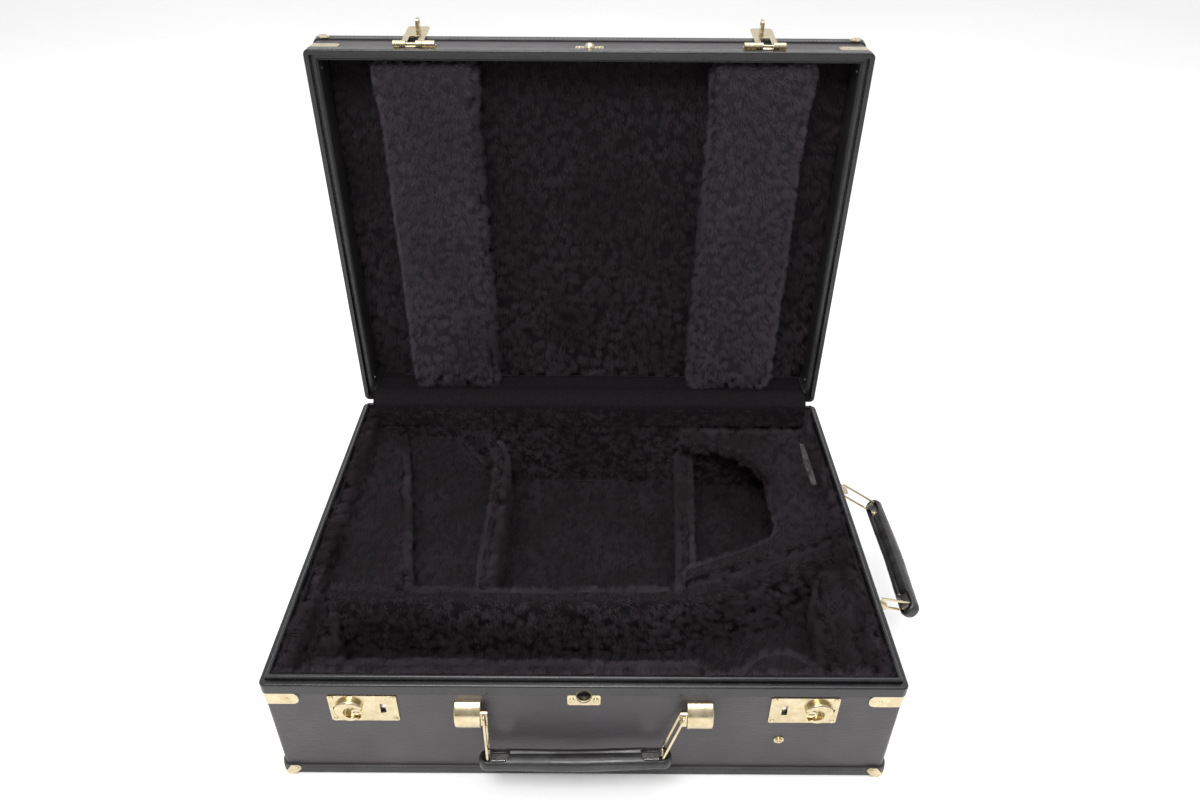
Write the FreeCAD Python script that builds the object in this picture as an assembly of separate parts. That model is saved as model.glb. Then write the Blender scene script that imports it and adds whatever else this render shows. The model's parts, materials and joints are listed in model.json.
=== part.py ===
import FreeCAD, Part
import math
import os
from FreeCAD import Vector as V

# Hard instrument case, open. Millimetres, +Z up, +X to the right, +Y to the back.
# The origin is at the centre of the tray's footprint, on the surface that it stands on.
# Everything is drawn with the lid shut, and the lid's pieces are then turned to the open pose.

# ---- driving dimensions ----------------------------------------------------------------------
WIDTH = 560.0            # across the rim
DEPTH = 420.0            # front to back, across the rim
SEAM_Z = 128.6           # the plane where tray and lid meet
TOP_Z = 182.0            # top of the closed lid
CORNER_R = 6.0           # the case's upright corners
STEP = 1.5               # how far the rim stands proud of the covering
SKIN = 1.2               # covering
PLY = 7.0                # wall board
LINING = 3.0             # backing under the plush
GAP = 0.1                # glue line between layers
WELT_H = 11.7            # stitched edge binding
LID_OPEN = 89.3          # how far the lid stands open
TRAY_TOP = 95.0          # top of the padded blocks in the tray
PANEL_TOP = 104.0        # top of the accessory lid
FLOOR_Z = 16.0           # padded floor of the tray

LOCK_X = 193.0           # centre of each lock plate
LOCK_Z = 97.0
LOCK_W, LOCK_H, LOCK_T = 60.0, 34.0, 1.2
HASP_X = 176.0           # tongue and slot
HASP_Z = 143.2           # hasp's pin
HASP_REST = 175.0        # how far the hasps are thrown back
SLIDE_TRAVEL = 6.0       # thumb slide and bolt, away from the middle
STEM_X, STEM_R = LOCK_X + 18.9, 1.6  # stem that joins them through the plate
PLATE_REACH, PLATE_H = 32.0, 14.4    # corner strips
PLATE_RIVET_IN = 22.0                # their rivets, from the corner
CAP_RIVET_IN, CAP_RIVET = 12.6, 9.6  # corner caps' rivets, from the corner and from the ground

AXIS_OUT = 8.5           # handle swivel axis, out from the covering
AXIS_Z = 101.0
SWIVEL_X = 86.6          # ring bar from the middle of the handle's pair of mounts
RING_L, RING_W, WIRE_R = 50.0, 12.0, 1.3
NEAR_TILT, FAR_TILT = 2.0, 20.0      # lean of the two rings at rest
FRONT_SWING, SIDE_SWING = 10.0, 57.0  # swing out from hanging at rest
GRIP_W, GRIP_H, GRIP_END = 20.0, 14.0, 8.5

HINGE_Y, HINGE_Z = 213.0, 125.2
HINGE_LEN, KNUCKLE = 480.0, 20.0
KNUCKLE_R, PIN_R = 4.0, 1.6

# ---- places that follow from them ------------------------------------------------------------
SKIN_IN = STEP                       # inset of the covering's outer face
PLY_OUT = STEP + SKIN + GAP
PLY_IN = PLY_OUT + PLY
LINE_IN = PLY_IN + GAP + LINING
FRONT = -DEPTH / 2 + STEP            # covering's outer face at the front
BACK = DEPTH / 2 - STEP
SIDE = WIDTH / 2 - STEP
BOTTOM_Z = 0.8                       # underside of the binding, which stands on its brass caps
INNER_X = WIDTH / 2 - LINE_IN - GAP  # faces of the lining, less a glue line
INNER_Y = DEPTH / 2 - LINE_IN - GAP
REAR_Y = INNER_Y - 3.0               # back of the padded blocks, clear of the gusset
SKIRT_Z = SEAM_Z - 11.6              # lower edge of the tray's rim
LID_SKIRT_Z = SEAM_Z + 10.9
RIM_IN = PLY_IN                      # the rims are as deep as covering and board together
LAND_IN = 4.9                        # rounded outer land of the tray's rim
TONGUE_OUT, TONGUE_IN = 5.6, RIM_IN - 0.5  # bead that enters the lid's rim
TONGUE_TOP = SEAM_Z + 4.4
LINING_TOP = SEAM_Z + 1.0            # the plush rises to the foot of the bead
LIP_IN = 5.1                         # the lid's lip, outside the bead
WEB_Z = SEAM_Z + 5.6
PART_Y = -65.0                       # back of the trough's partition
PART_T = 18.0
BEND_X = 93.0
SIDE_Y = 5.0                         # where the bent partition meets the right wall
PAD_FACE_Z = SEAM_Z + 8.1            # face of the lid's padded bars, lid shut
LID_TOP_IN = TOP_Z - BOTTOM_Z - 8.1  # underside of the lid's top board
LID_PANEL_Z = LID_TOP_IN - 4.1       # face of the plush panel inside it
LID_LINING = 1.5                     # smooth lining on the lid's walls

nodes = {}


# ---- helpers ---------------------------------------------------------------------------------
def box(x0, x1, y0, y1, z0, z1):
    return Part.makeBox(x1 - x0, y1 - y0, z1 - z0, V(x0, y0, z0))


def rod(x, y, z, r, h, along=V(0, 0, 1)):
    return Part.makeCylinder(r, h, V(x, y, z), along)


def rounded(half_x, half_y, r, z0, z1):
    """Upright block, centred on the Z axis, with rounded corners."""
    block = box(-half_x, half_x, -half_y, half_y, z0, z1)
    upright = [e for e in block.Edges if abs(e.BoundBox.ZLength - (z1 - z0)) < 1e-6]
    return block.makeFillet(r, upright)


def prism(inset, z0, z1):
    """The case's outline, drawn in by an inset, between two heights."""
    return rounded(WIDTH / 2 - inset, DEPTH / 2 - inset, max(CORNER_R - inset, 1.5), z0, z1)


def band(inset_out, inset_in, z0, z1):
    return prism(inset_out, z0, z1).cut(prism(inset_in, z0 - 1, z1 + 1))


def outline(points, z0, z1):
    """Upright block on a plan outline."""
    face = Part.Face(Part.makePolygon([V(x, y, z0) for x, y in points + points[:1]]))
    return face.extrude(V(0, 0, z1 - z0))


def soften(solid, z, r):
    """Rounds every edge that lies flat at height z."""
    flat = [e for e in solid.Edges if abs(e.BoundBox.ZMin - z) < 1e-4 and e.BoundBox.ZLength < 1e-4]
    return solid.makeFillet(r, flat)


def mirror_x(solid):
    return solid.mirror(V(0, 0, 0), V(1, 0, 0))


def four_corners(solid):
    """The piece at the front left corner, repeated at all four corners."""
    left = [solid, solid.mirror(V(0, 0, 0), V(0, 1, 0))]
    return Part.makeCompound(left + [mirror_x(s) for s in left])


def flip_to_lid(solid):
    """A tray piece's twin on the lid: reflected in the seam plane, then shifted to the lid's height."""
    twin = solid.mirror(V(0, 0, 0), V(0, 0, 1))
    twin.translate(V(0, 0, TOP_Z))
    return twin


def turned(solid, centre, axis, degrees):
    done = solid.copy()
    done.rotate(centre, axis, degrees)
    return done


def stud(x, y, z, out, head_r, head_h, shank_r, shank_l):
    """Round-headed fastener: out points away from the wall, and (x, y, z) is under its head."""
    head = rod(x, y, z, head_r, head_h, out)
    rim = [e for e in head.Edges if e.Closed and (e.CenterOfMass - V(x, y, z)).Length > head_h * 0.9]
    head = head.makeFillet(head_h * 0.8, rim)
    return head.fuse(rod(x, y, z, shank_r, shank_l, out.negative())).removeSplitter()


def shank(x, y, z, out, r, length):
    return rod(x + out.x, y + out.y, z + out.z, r + 0.05, length + 1.1, out.negative())


# ---- the tray's shell ------------------------------------------------------------------------
def tray_box():
    return prism(PLY_OUT, BOTTOM_Z + 2.1, SKIRT_Z + 2.0).cut(prism(PLY_IN, BOTTOM_Z + 8.1, SEAM_Z))


def tray_covering():
    shell = prism(SKIN_IN, BOTTOM_Z + 0.8, SKIRT_Z + 1.9)
    return shell.cut(prism(SKIN_IN + SKIN, BOTTOM_Z + 2.0, SEAM_Z))


def tray_binding():
    """Edge binding: it stands up round the wall's foot and laps 8 mm under the bottom."""
    ring = prism(-0.6, BOTTOM_Z, BOTTOM_Z + WELT_H)
    ring = soften(soften(ring, BOTTOM_Z + WELT_H, 0.9), BOTTOM_Z, 1.2)
    ring = ring.cut(prism(STEP - GAP, BOTTOM_Z + 0.7, SEAM_Z))
    return ring.cut(prism(9.5, -1, BOTTOM_Z + 1))


def tray_rim():
    """Rim moulding: a rounded outer land, a groove and an inner bead that enters the lid's rim."""
    body = prism(0, SKIRT_Z, SEAM_Z - 2.1).cut(prism(RIM_IN, SKIRT_Z - 1, SEAM_Z))
    body = body.cut(band(STEP - GAP, RIM_IN + 1, SKIRT_Z - 1, SKIRT_Z + 2.1))
    land = soften(prism(0, SEAM_Z - 2.1, SEAM_Z - 0.1), SEAM_Z - 0.1, 1.9).cut(prism(LAND_IN, 0, SEAM_Z + 1))
    bead = soften(band(TONGUE_OUT, TONGUE_IN, SEAM_Z - 3.0, TONGUE_TOP), TONGUE_TOP, 1.7)
    return body.fuse([land, bead]).cut(hinge_notch()).removeSplitter()


def hinge_notch():
    half = HINGE_LEN / 2 + 1
    return box(-half, half, BACK + 0.05, HINGE_Y + 6, SKIRT_Z - 2, LID_SKIRT_Z + 2)


def tray_lining():
    """Plush backing on the walls, up to the rim, and the padded floor."""
    shell = prism(PLY_IN + GAP, BOTTOM_Z + 8.2, LINING_TOP)
    return shell.cut(prism(LINE_IN, FLOOR_Z, LINING_TOP + 1))


# ---- the tray's padding ----------------------------------------------------------------------
def trough_partition():
    """Padded wall behind the trough: straight along the front, then bent back to the right wall."""
    front, slope = PART_Y - PART_T, (SIDE_Y - PART_Y) / (INNER_X - BEND_X)
    drop = PART_T * math.sqrt(1 + slope * slope)
    plan = [(-INNER_X, PART_Y), (-INNER_X, front), (BEND_X + 4, front),
            (INNER_X, SIDE_Y - drop), (INNER_X, SIDE_Y), (BEND_X, PART_Y)]
    return soften(outline(plan, FLOOR_Z + GAP, TRAY_TOP + 2), TRAY_TOP + 2, 6.0)


def front_roll():
    roll = box(-INNER_X + 1.5, 116, -INNER_Y, -INNER_Y + 43, FLOOR_Z + GAP, TRAY_TOP + 3)
    return soften(roll, TRAY_TOP + 3, 12.0)


def half_round_pad():
    x, r = 181.0, 38.5
    back = -INNER_Y + 12
    pad = rod(x, back, FLOOR_Z + GAP, r, TRAY_TOP + 5 - FLOOR_Z)
    pad = pad.common(box(x - r - 1, x + r + 1, back, back + r + 1, 0, SEAM_Z))
    foot = box(x - r, x + r, -INNER_Y, back, FLOOR_Z + GAP, TRAY_TOP + 5 + GAP)
    return soften(pad.fuse(foot).removeSplitter(), TRAY_TOP + 5 + GAP, 5.0)


def trough_end_pads():
    front = -INNER_Y + 43 + 1
    left = box(-INNER_X, -INNER_X + 13, front, PART_Y - PART_T - 1, FLOOR_Z + GAP, TRAY_TOP)
    right = box(INNER_X - 28, INNER_X, -INNER_Y + 12 + 1, -38, FLOOR_Z + GAP, TRAY_TOP)
    return Part.makeCompound([soften(left, TRAY_TOP, 4.0), soften(right, TRAY_TOP, 9.0)])


def recess_line(y):
    """Left edge of the bell recess: it runs in towards the middle as it comes forward."""
    return -184.0 - (y - PART_Y) * 0.186


def left_block():
    front = PART_Y + 0.5
    plan = [(-INNER_X, front), (recess_line(front), front), (recess_line(REAR_Y), REAR_Y), (-INNER_X, REAR_Y)]
    return soften(outline(plan, FLOOR_Z + GAP, TRAY_TOP), TRAY_TOP, 4.0)


def well_divider():
    """Thin divider between the bell recess and the well, flared to the left at the back."""
    t, front, bend_y, r, face = 10.0, PART_Y + 0.5, 140.0, 67.0, -101.0
    z0, z1 = FLOOR_Z + GAP, TRAY_TOP + 3
    straight = box(face - t, face, front, bend_y, z0, z1)
    flare = rod(face - r, bend_y, z0, r, z1 - z0).cut(rod(face - r, bend_y, z0 - 1, r - t, z1))
    flare = flare.common(box(face - r, face + 1, bend_y, REAR_Y, z0, z1))
    return soften(straight.fuse(flare).removeSplitter(), z1, 3.5)


def bell_saddle():
    """Raised floor of the bell recess, ramped up at the back."""
    front, low, high = PART_Y + 0.5, 58.0, 90.0
    side = [V(0, front, FLOOR_Z + GAP), V(0, front, low), V(0, 118, low), V(0, 140, low + 4),
            V(0, REAR_Y, high), V(0, REAR_Y, FLOOR_Z + GAP)]
    wedge = Part.Face(Part.makePolygon(side + side[:1])).extrude(V(400, 0, 0))
    wedge.translate(V(-300, 0, 0))
    plan = [(recess_line(front) + 4, front), (-112, front), (-115, 60), (-119, 140), (-125, 160),
            (-140, 172), (-162, REAR_Y), (recess_line(REAR_Y) + 4, REAR_Y)]
    return wedge.common(outline(plan, 0, SEAM_Z))


def box_line(y):
    """Left edge of the accessory compartment."""
    return 98.0 + (y - PART_Y) * 0.056


def behind_bend(x, clear):
    return PART_Y + clear + max(0.0, (x - BEND_X)) * (SIDE_Y - PART_Y) / (INNER_X - BEND_X)


def accessory_box():
    """Walls of the right rear compartment, which carry its lid."""
    t, top, clear = 10.0, PANEL_TOP - 19.0, 0.6
    plan = [(box_line(PART_Y), behind_bend(box_line(PART_Y), clear)), (INNER_X, behind_bend(INNER_X, clear)),
            (INNER_X, REAR_Y), (box_line(REAR_Y), REAR_Y)]
    well = [(box_line(PART_Y) + t, behind_bend(box_line(PART_Y) + t, clear + t)),
            (INNER_X - t, behind_bend(INNER_X - t, clear + t)),
            (INNER_X - t, REAR_Y - t), (box_line(REAR_Y) + t, REAR_Y - t)]
    return outline(plan, FLOOR_Z + GAP, top).cut(outline(well, 0, SEAM_Z))


def accessory_lid():
    """Padded panel over the compartment, with a D-shaped opening along its left edge."""
    z0, clear = PANEL_TOP - 18.0, 1.5
    left = box_line(PART_Y) + 1
    right = INNER_X - 1.5
    plan = [(left, behind_bend(left, clear)), (right, behind_bend(right, clear)),
            (right, REAR_Y - 1.5), (box_line(REAR_Y) + 1, REAR_Y - 1.5)]
    panel = soften(outline(plan, z0, PANEL_TOP), PANEL_TOP, 3.0)
    near, far, reach = -44.0, 164.0, 206.0
    cut = [(60, near), (100, near), (reach, 4), (reach, far), (60, far)]
    hole = outline(cut, z0 - 5, PANEL_TOP + 5)
    for y, r in ((4, 40.0), (far, 75.0)):
        bend = [e for e in hole.Edges if e.BoundBox.ZLength > 20 and e.BoundBox.XMin > reach - 1
                and abs(e.BoundBox.YMin - y) < 1e-3 and e.BoundBox.YLength < 1e-3]
        hole = hole.makeFillet(r, bend)
    return panel.cut(hole)


def pull_tab():
    tab = box(INNER_X - 15, INNER_X - 5, 82, 160, PANEL_TOP + GAP, PANEL_TOP + 1.8)
    ends = [e for e in tab.Edges if e.BoundBox.ZLength > 1]
    return tab.makeFillet(4.5, ends)


def hinge_gusset():
    return box(-262, 262, INNER_Y - 2.6, INNER_Y - 0.2, PANEL_TOP + 2, SEAM_Z + 2)


# ---- the lid ---------------------------------------------------------------------------------
def lid_box():
    return prism(PLY_OUT, LID_SKIRT_Z - 2.0, LID_TOP_IN + 6.0).cut(prism(PLY_IN, 0, LID_TOP_IN))


def lid_covering():
    shell = prism(SKIN_IN, LID_SKIRT_Z - 1.9, TOP_Z - BOTTOM_Z - 0.8)
    return shell.cut(prism(SKIN_IN + SKIN, 0, TOP_Z - BOTTOM_Z - 2.0))


def lid_rim():
    """Rim moulding whose outer lip closes on the tray's land, outside the bead."""
    lip = soften(prism(0, SEAM_Z, LID_SKIRT_Z), SEAM_Z, 1.5).cut(prism(LIP_IN, 0, TOP_Z))
    web = band(LIP_IN, RIM_IN, WEB_Z, LID_SKIRT_Z - 2.1)
    room = band(STEP - GAP, LIP_IN + 1, LID_SKIRT_Z - 2.1, LID_SKIRT_Z + 1)
    return lip.fuse(web).cut(room).cut(hinge_notch()).removeSplitter()


def lid_lining():
    """Smooth lining on the lid's walls and the plush panel inside its top."""
    shell = prism(PLY_IN + GAP, WEB_Z, LID_TOP_IN - GAP)
    return shell.cut(prism(PLY_IN + GAP + LID_LINING, 0, LID_PANEL_Z))


def lid_pad(x):
    half = 51.0
    pad = box(x - half, x + half, -INNER_Y + 0.5, INNER_Y - 0.5, PAD_FACE_Z, LID_PANEL_Z - GAP)
    return soften(pad, PAD_FACE_Z, 6.0)


# ---- corner brasses --------------------------------------------------------------------------
def corner_plates(z0):
    """Round-ended brass strips that wrap each corner just off the rim; z0 is their lower edge."""
    z1 = z0 + PLATE_H
    far_x, far_y = -WIDTH / 2 + PLATE_REACH, -DEPTH / 2 + PLATE_REACH
    strip = band(STEP - 0.9, STEP - GAP, z0, z1).common(box(-WIDTH / 2, far_x, -DEPTH / 2, far_y, z0, z1))
    ends = [e for e in strip.Edges if e.Length < 0.9 and e.BoundBox.ZLength < 1e-4
            and (e.BoundBox.XMin > far_x - 1 or e.BoundBox.YMin > far_y - 1)]
    return four_corners(strip.makeFillet(6.0, ends))


def corner_caps():
    """Brass clips over the binding: two tabs that lean away from the corner and join round its foot."""
    z1 = BOTTOM_Z + WELT_H + 0.9
    clip = prism(-1.5, 0, z1).cut(prism(-0.7, BOTTOM_Z - GAP, z1 + 1)).cut(prism(8.0, -1, 1))
    tab = [(-2, -1), (10.5, -1), (10.5, 0.8), (16.5, 8.5), (16.5, 11.5), (14.8, z1), (-2, z1)]
    corner = V(-WIDTH / 2, -DEPTH / 2, 0)
    across = Part.Face(Part.makePolygon([V(u, -3, z) for u, z in tab + tab[:1]])).extrude(V(0, 24, 0))
    along = Part.Face(Part.makePolygon([V(-3, u, z) for u, z in tab + tab[:1]])).extrude(V(24, 0, 0))
    for keep in (across, along):
        keep.translate(corner)
        clip = clip.common(keep)
    # the opening over the corner is cut along the diagonal, so w is the distance along a face over root 2
    root, sill, foot = math.sqrt(2), 4.0, 1.6
    top = foot + (z1 - sill) / 1.9
    notch = [(-foot, sill), (foot, sill), (top, z1 + 0.1), (-top, z1 + 0.1)]
    face = Part.Face(Part.makePolygon([V(w / root, -w / root, z) for w, z in notch + notch[:1]]))
    opening = face.extrude(V(20, 20, 0))
    opening.translate(corner - V(6, 6, 0))
    return four_corners(clip.cut(opening))


# ---- locks and hasps, drawn for the left and mirrored ---------------------------------------
def lock_plate():
    x = -LOCK_X
    plate = box(x - LOCK_W / 2, x + LOCK_W / 2, FRONT - GAP - LOCK_T, FRONT - GAP,
                LOCK_Z - LOCK_H / 2, LOCK_Z + LOCK_H / 2)
    corners = [e for e in plate.Edges if abs(e.BoundBox.YLength - LOCK_T) < 1e-4]
    plate = plate.makeFillet(2.0, corners)
    slot = box(-HASP_X - 2.5, -HASP_X + 2.5, FRONT - 5, FRONT + 5, LOCK_Z - 6.2, LOCK_Z + 6.2)
    room = STEM_R + 0.4
    stem = box(-STEM_X - SLIDE_TRAVEL - room, -STEM_X + room, FRONT - 5, FRONT + 5,
               LOCK_Z - room, LOCK_Z + room)
    key = rod(x - 6.5, FRONT + 5, LOCK_Z - 2, 4.55, 12, V(0, -1, 0))
    return plate.cut(slot).cut(stem).cut(key)


def lock_mortise():
    x = -LOCK_X
    return box(x - 28.6, x + 28.6, FRONT - 1, FRONT + SKIN + PLY + 1, LOCK_Z - 12.6, LOCK_Z + 12.6)


def lock_case():
    """Folded steel case let into the board behind the plate, open at the front."""
    x, wall = -LOCK_X, 0.8
    y0, y1 = FRONT + GAP, FRONT + SKIN + PLY - 0.1
    case = box(x - 28.5, x + 28.5, y0, y1, LOCK_Z - 12.5, LOCK_Z + 12.5)
    return case.cut(box(x - 28.5 + wall, x + 28.5 - wall, y0 - 1, y1 - wall,
                        LOCK_Z - 12.5 + wall, LOCK_Z + 12.5 - wall))


def thumb_slide():
    """Crescent thumb piece, open towards the middle of the case, on a stem through the plate."""
    x, r, thick = -LOCK_X - 12.5, 13.0, 4.4
    back = FRONT - GAP - LOCK_T - 0.1
    disc = rod(x, back, LOCK_Z, r, thick, V(0, -1, 0))
    disc = disc.makeFillet(2.2, [e for e in disc.Edges if e.Closed and e.CenterOfMass.y < back - 1])
    bore = rod(x + 2.6, back + 1, LOCK_Z - 0.6, 7.4, thick + 2, V(0, -1, 0))
    mouth = box(0, 20, back - thick - 1, back + 1, -6.6, 6.6)
    mouth.rotate(V(0, 0, 0), V(0, 1, 0), 14)
    mouth.translate(V(x + 2.6, 0, LOCK_Z - 0.6))
    stem = rod(-STEM_X, back - 1, LOCK_Z, STEM_R, 5.8, V(0, 1, 0))
    return disc.cut(bore).cut(mouth).fuse(stem).removeSplitter()


def lock_bolt():
    """Flat bolt behind the plate: it carries the stem's end and its tip crosses the hasp slot."""
    y0, y1, end = FRONT + 1.7, FRONT + 3.7, STEM_X + 2.5
    bar = box(-end, -HASP_X + 3.4, y0, y1, LOCK_Z - 2.4, LOCK_Z + 2.4)
    pad = box(-end, -STEM_X + 2.5, y0, y1, LOCK_Z - 5, LOCK_Z + 5)
    return bar.fuse(pad).removeSplitter().cut(rod(-STEM_X, y0 - 1, LOCK_Z, STEM_R + 0.05, 4, V(0, 1, 0)))


def key_cylinder():
    x, z = -LOCK_X - 6.5, LOCK_Z - 2
    plug = rod(x, FRONT + 1.2, z, 4.5, 5.0, V(0, -1, 0))
    plug = plug.makeFillet(0.8, [e for e in plug.Edges if e.Closed and e.CenterOfMass.y < FRONT - 2])
    return plug.cut(box(x - 2.6, x + 2.6, FRONT - 5, FRONT - 1.8, z - 0.6, z + 0.6))


def hasp_pin_axis():
    return V(-HASP_X, FRONT - 3.6, HASP_Z)


def hasp_base():
    """Plate on the lid with an outer and a longer inner knuckle."""
    c, r = hasp_pin_axis(), 3.4
    x0, x1 = c.x - 17.5, c.x + 23.5
    plate = box(x0, x1, FRONT - 1.1, FRONT - GAP, LID_SKIRT_Z + 0.6, HASP_Z + 11)
    upper = [e for e in plate.Edges if e.BoundBox.YLength > 0.9 and e.BoundBox.ZMin > HASP_Z]
    plate = plate.makeFillet(2.5, upper)
    outer = rod(x0, c.y, c.z, r, 6.4, V(1, 0, 0))
    inner = rod(c.x + 11.6, c.y, c.z, r, 11.9, V(1, 0, 0))
    relief = rod(c.x - 11.0, c.y, c.z, r + 0.5, 22.5, V(1, 0, 0))
    plate = plate.cut(relief)
    return plate.fuse([outer, inner]).cut(rod(x0 - 1, c.y, c.z, 1.25, 43, V(1, 0, 0))).removeSplitter()


def hasp_pin():
    c = hasp_pin_axis()
    return rod(c.x - 17.4, c.y, c.z, 1.2, 40.8, V(1, 0, 0))


def hasp():
    """Two legs on the pin, a plate below them, and a tongue that enters the lock's slot."""
    c, r, half = hasp_pin_axis(), 3.4, 11.2
    front, back = c.y - 1.5, c.y - 0.2
    low = LOCK_Z - 6.5
    plate = box(c.x - half + 0.2, c.x + half, front, back, low, HASP_Z)
    lower = [e for e in plate.Edges if e.BoundBox.YLength > 1 and e.BoundBox.ZMax < low + 1]
    plate = plate.makeFillet(3.0, lower)
    legs = [rod(c.x - half + 0.4, c.y, c.z, r, 5.8, V(1, 0, 0)), rod(c.x + 5, c.y, c.z, r, 6.2, V(1, 0, 0))]
    window = box(c.x - 5, c.x + 5, front - 5, back + 5, HASP_Z - 24, HASP_Z + 5)
    bead = box(c.x - half + 2.2, c.x + half - 2, front - 0.8, front, low + 3, HASP_Z - 26)
    bead = bead.makeFillet(0.7, [e for e in bead.Edges if e.BoundBox.YMax < front - 0.7])
    tongue = box(c.x - 1.6, c.x + 1.6, back, FRONT + 6.2, LOCK_Z - 4.6, LOCK_Z + 4.6)
    tongue = tongue.makeFillet(1.4, [e for e in tongue.Edges if e.BoundBox.YMin > FRONT + 6 and
                                     e.BoundBox.XLength > 3])
    eye = box(c.x - 3, c.x + 3, FRONT + 1.3, FRONT + 4.2, LOCK_Z - 2.9, LOCK_Z + 2.9)
    body = plate.fuse(legs).cut(window).fuse([bead, tongue]).cut(eye)
    return body.cut(rod(c.x - 20, c.y, c.z, 1.25, 40, V(1, 0, 0))).removeSplitter()


# ---- centre fittings and the strap stud ------------------------------------------------------
def centre_socket():
    """Screwed plate with a half bowl, open at the top."""
    z0, z1 = SKIRT_Z - 14.0, SKIRT_Z - 0.3
    plate = box(-14.5, 14.5, FRONT - 1.1, FRONT - GAP, z0, z1)
    plate = plate.makeFillet(2.5, [e for e in plate.Edges if e.BoundBox.YLength > 0.9])
    bowl = Part.makeSphere(7.4, V(0, FRONT, z1)).cut(Part.makeSphere(6.3, V(0, FRONT, z1)))
    bowl = bowl.common(box(-9, 9, FRONT - 9, FRONT - GAP, z0 - 5, z1))
    return plate.cut(Part.makeSphere(6.3, V(0, FRONT, z1))).fuse(bowl).removeSplitter()


def centre_boss():
    z0, z1 = LID_SKIRT_Z + 0.3, LID_SKIRT_Z + 10.0
    plate = box(-14, 14, FRONT - 1.1, FRONT - GAP, z0, z1)
    plate = plate.makeFillet(1.5, [e for e in plate.Edges if e.BoundBox.YLength > 0.9])
    boss = Part.makeSphere(5.4, V(0, FRONT, z0 + 5.5)).common(box(-9, 9, FRONT - 9, FRONT - GAP, z0, z1 + 5))
    return plate.fuse(boss).removeSplitter()


def strap_stud():
    x, z = 176.0, 54.0
    base = rod(x, FRONT - GAP, z, 4.6, 1.0, V(0, -1, 0))
    cup = rod(x, FRONT - 1.0, z, 3.0, 1.4, V(0, -1, 0)).cut(rod(x, FRONT - 1.6, z, 1.6, 2, V(0, -1, 0)))
    return base.fuse(cup).fuse(rod(x, FRONT - GAP, z, 1.4, 5.0, V(0, 1, 0))).removeSplitter()


# ---- hinge -----------------------------------------------------------------------------------
def knuckles(first):
    """Every second knuckle of the long hinge, starting at the first or second place."""
    count = int(HINGE_LEN / KNUCKLE)
    starts = [-HINGE_LEN / 2 + i * KNUCKLE for i in range(first, count, 2)]
    rods = [rod(x + 0.2, HINGE_Y, HINGE_Z, KNUCKLE_R, KNUCKLE - 0.4, V(1, 0, 0)) for x in starts]
    return starts, rods


def hinge_leaf(first, far_z):
    """Leaf on the back wall; its plate reaches the pin line only at its own knuckles."""
    sign = 1 if far_z > HINGE_Z else -1
    near = HINGE_Z + sign * (KNUCKLE_R + 0.6)
    half = HINGE_LEN / 2
    plate = box(-half, half, BACK + GAP, BACK + 1.5, min(near, far_z), max(near, far_z))
    starts, rods = knuckles(first)
    tabs = [box(x + 0.2, x + KNUCKLE - 0.2, BACK + GAP, BACK + 1.5, min(HINGE_Z, near), max(HINGE_Z, near))
            for x in starts]
    bore = rod(-half - 1, HINGE_Y, HINGE_Z, PIN_R + 0.05, HINGE_LEN + 2, V(1, 0, 0))
    return plate.fuse(tabs + rods).cut(bore).removeSplitter()


def hinge_pin():
    return rod(-HINGE_LEN / 2, HINGE_Y, HINGE_Z, PIN_R, HINGE_LEN, V(1, 0, 0))


# ---- handles ---------------------------------------------------------------------------------
# Local frame: origin on the covering, midway between the mounts, at the swivel's height;
# -Y points out of the wall and the handle runs along X.
def handle_mounts():
    """Bulged brass shells, one each side, bored for the swivels from the inner side."""
    half, x = 11.6, SWIVEL_X + 14.6
    profile = Part.Wire([
        Part.makeLine(V(0, -GAP, 7.5), V(0, -3.0, 7.5)),
        Part.Arc(V(0, -3.0, 7.5), V(0, -12.0, -2.5), V(0, -9.0, -20.0)).toShape(),
        Part.makeLine(V(0, -9.0, -20.0), V(0, -GAP, -20.0)),
        Part.makeLine(V(0, -GAP, -20.0), V(0, -GAP, 7.5))])
    shell = Part.Face(profile).extrude(V(2 * half, 0, 0))
    sides = [e for e in shell.Edges if e.BoundBox.XLength < 1e-4 and e.BoundBox.YMin < -4
             and e.BoundBox.ZLength > 5]
    shell = shell.makeFillet(1.2, sides)
    shell.translate(V(x - half, 0, 0))
    bore = rod(x - half - 1, -AXIS_OUT, 0, 1.85, 17, V(1, 0, 0))
    right = shell.cut(bore)
    return Part.makeCompound([mirror_x(right), right])


def swivels():
    """Pin in the mount with a hanging lug that the ring's bar passes through."""
    start = SWIVEL_X + 3.2
    pin = rod(start - 1, -AXIS_OUT, 0, 1.8, 16.0, V(1, 0, 0))
    head = rod(SWIVEL_X - 3.0, -AXIS_OUT, 0, 2.9, 5.8, V(1, 0, 0))
    tab = box(SWIVEL_X - 3.0, SWIVEL_X + 2.8, -AXIS_OUT - 2.6, -AXIS_OUT + 2.6, -13, 0)
    tab = tab.makeFillet(2.4, [e for e in tab.Edges if e.BoundBox.ZMax < -12.9 and e.BoundBox.XLength > 5])
    hole = rod(SWIVEL_X, -AXIS_OUT - 6, 0, WIRE_R + 0.07, 12, V(0, 1, 0))
    right = pin.fuse([head, tab]).cut(hole).removeSplitter()
    return Part.makeCompound([mirror_x(right), right])


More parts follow.
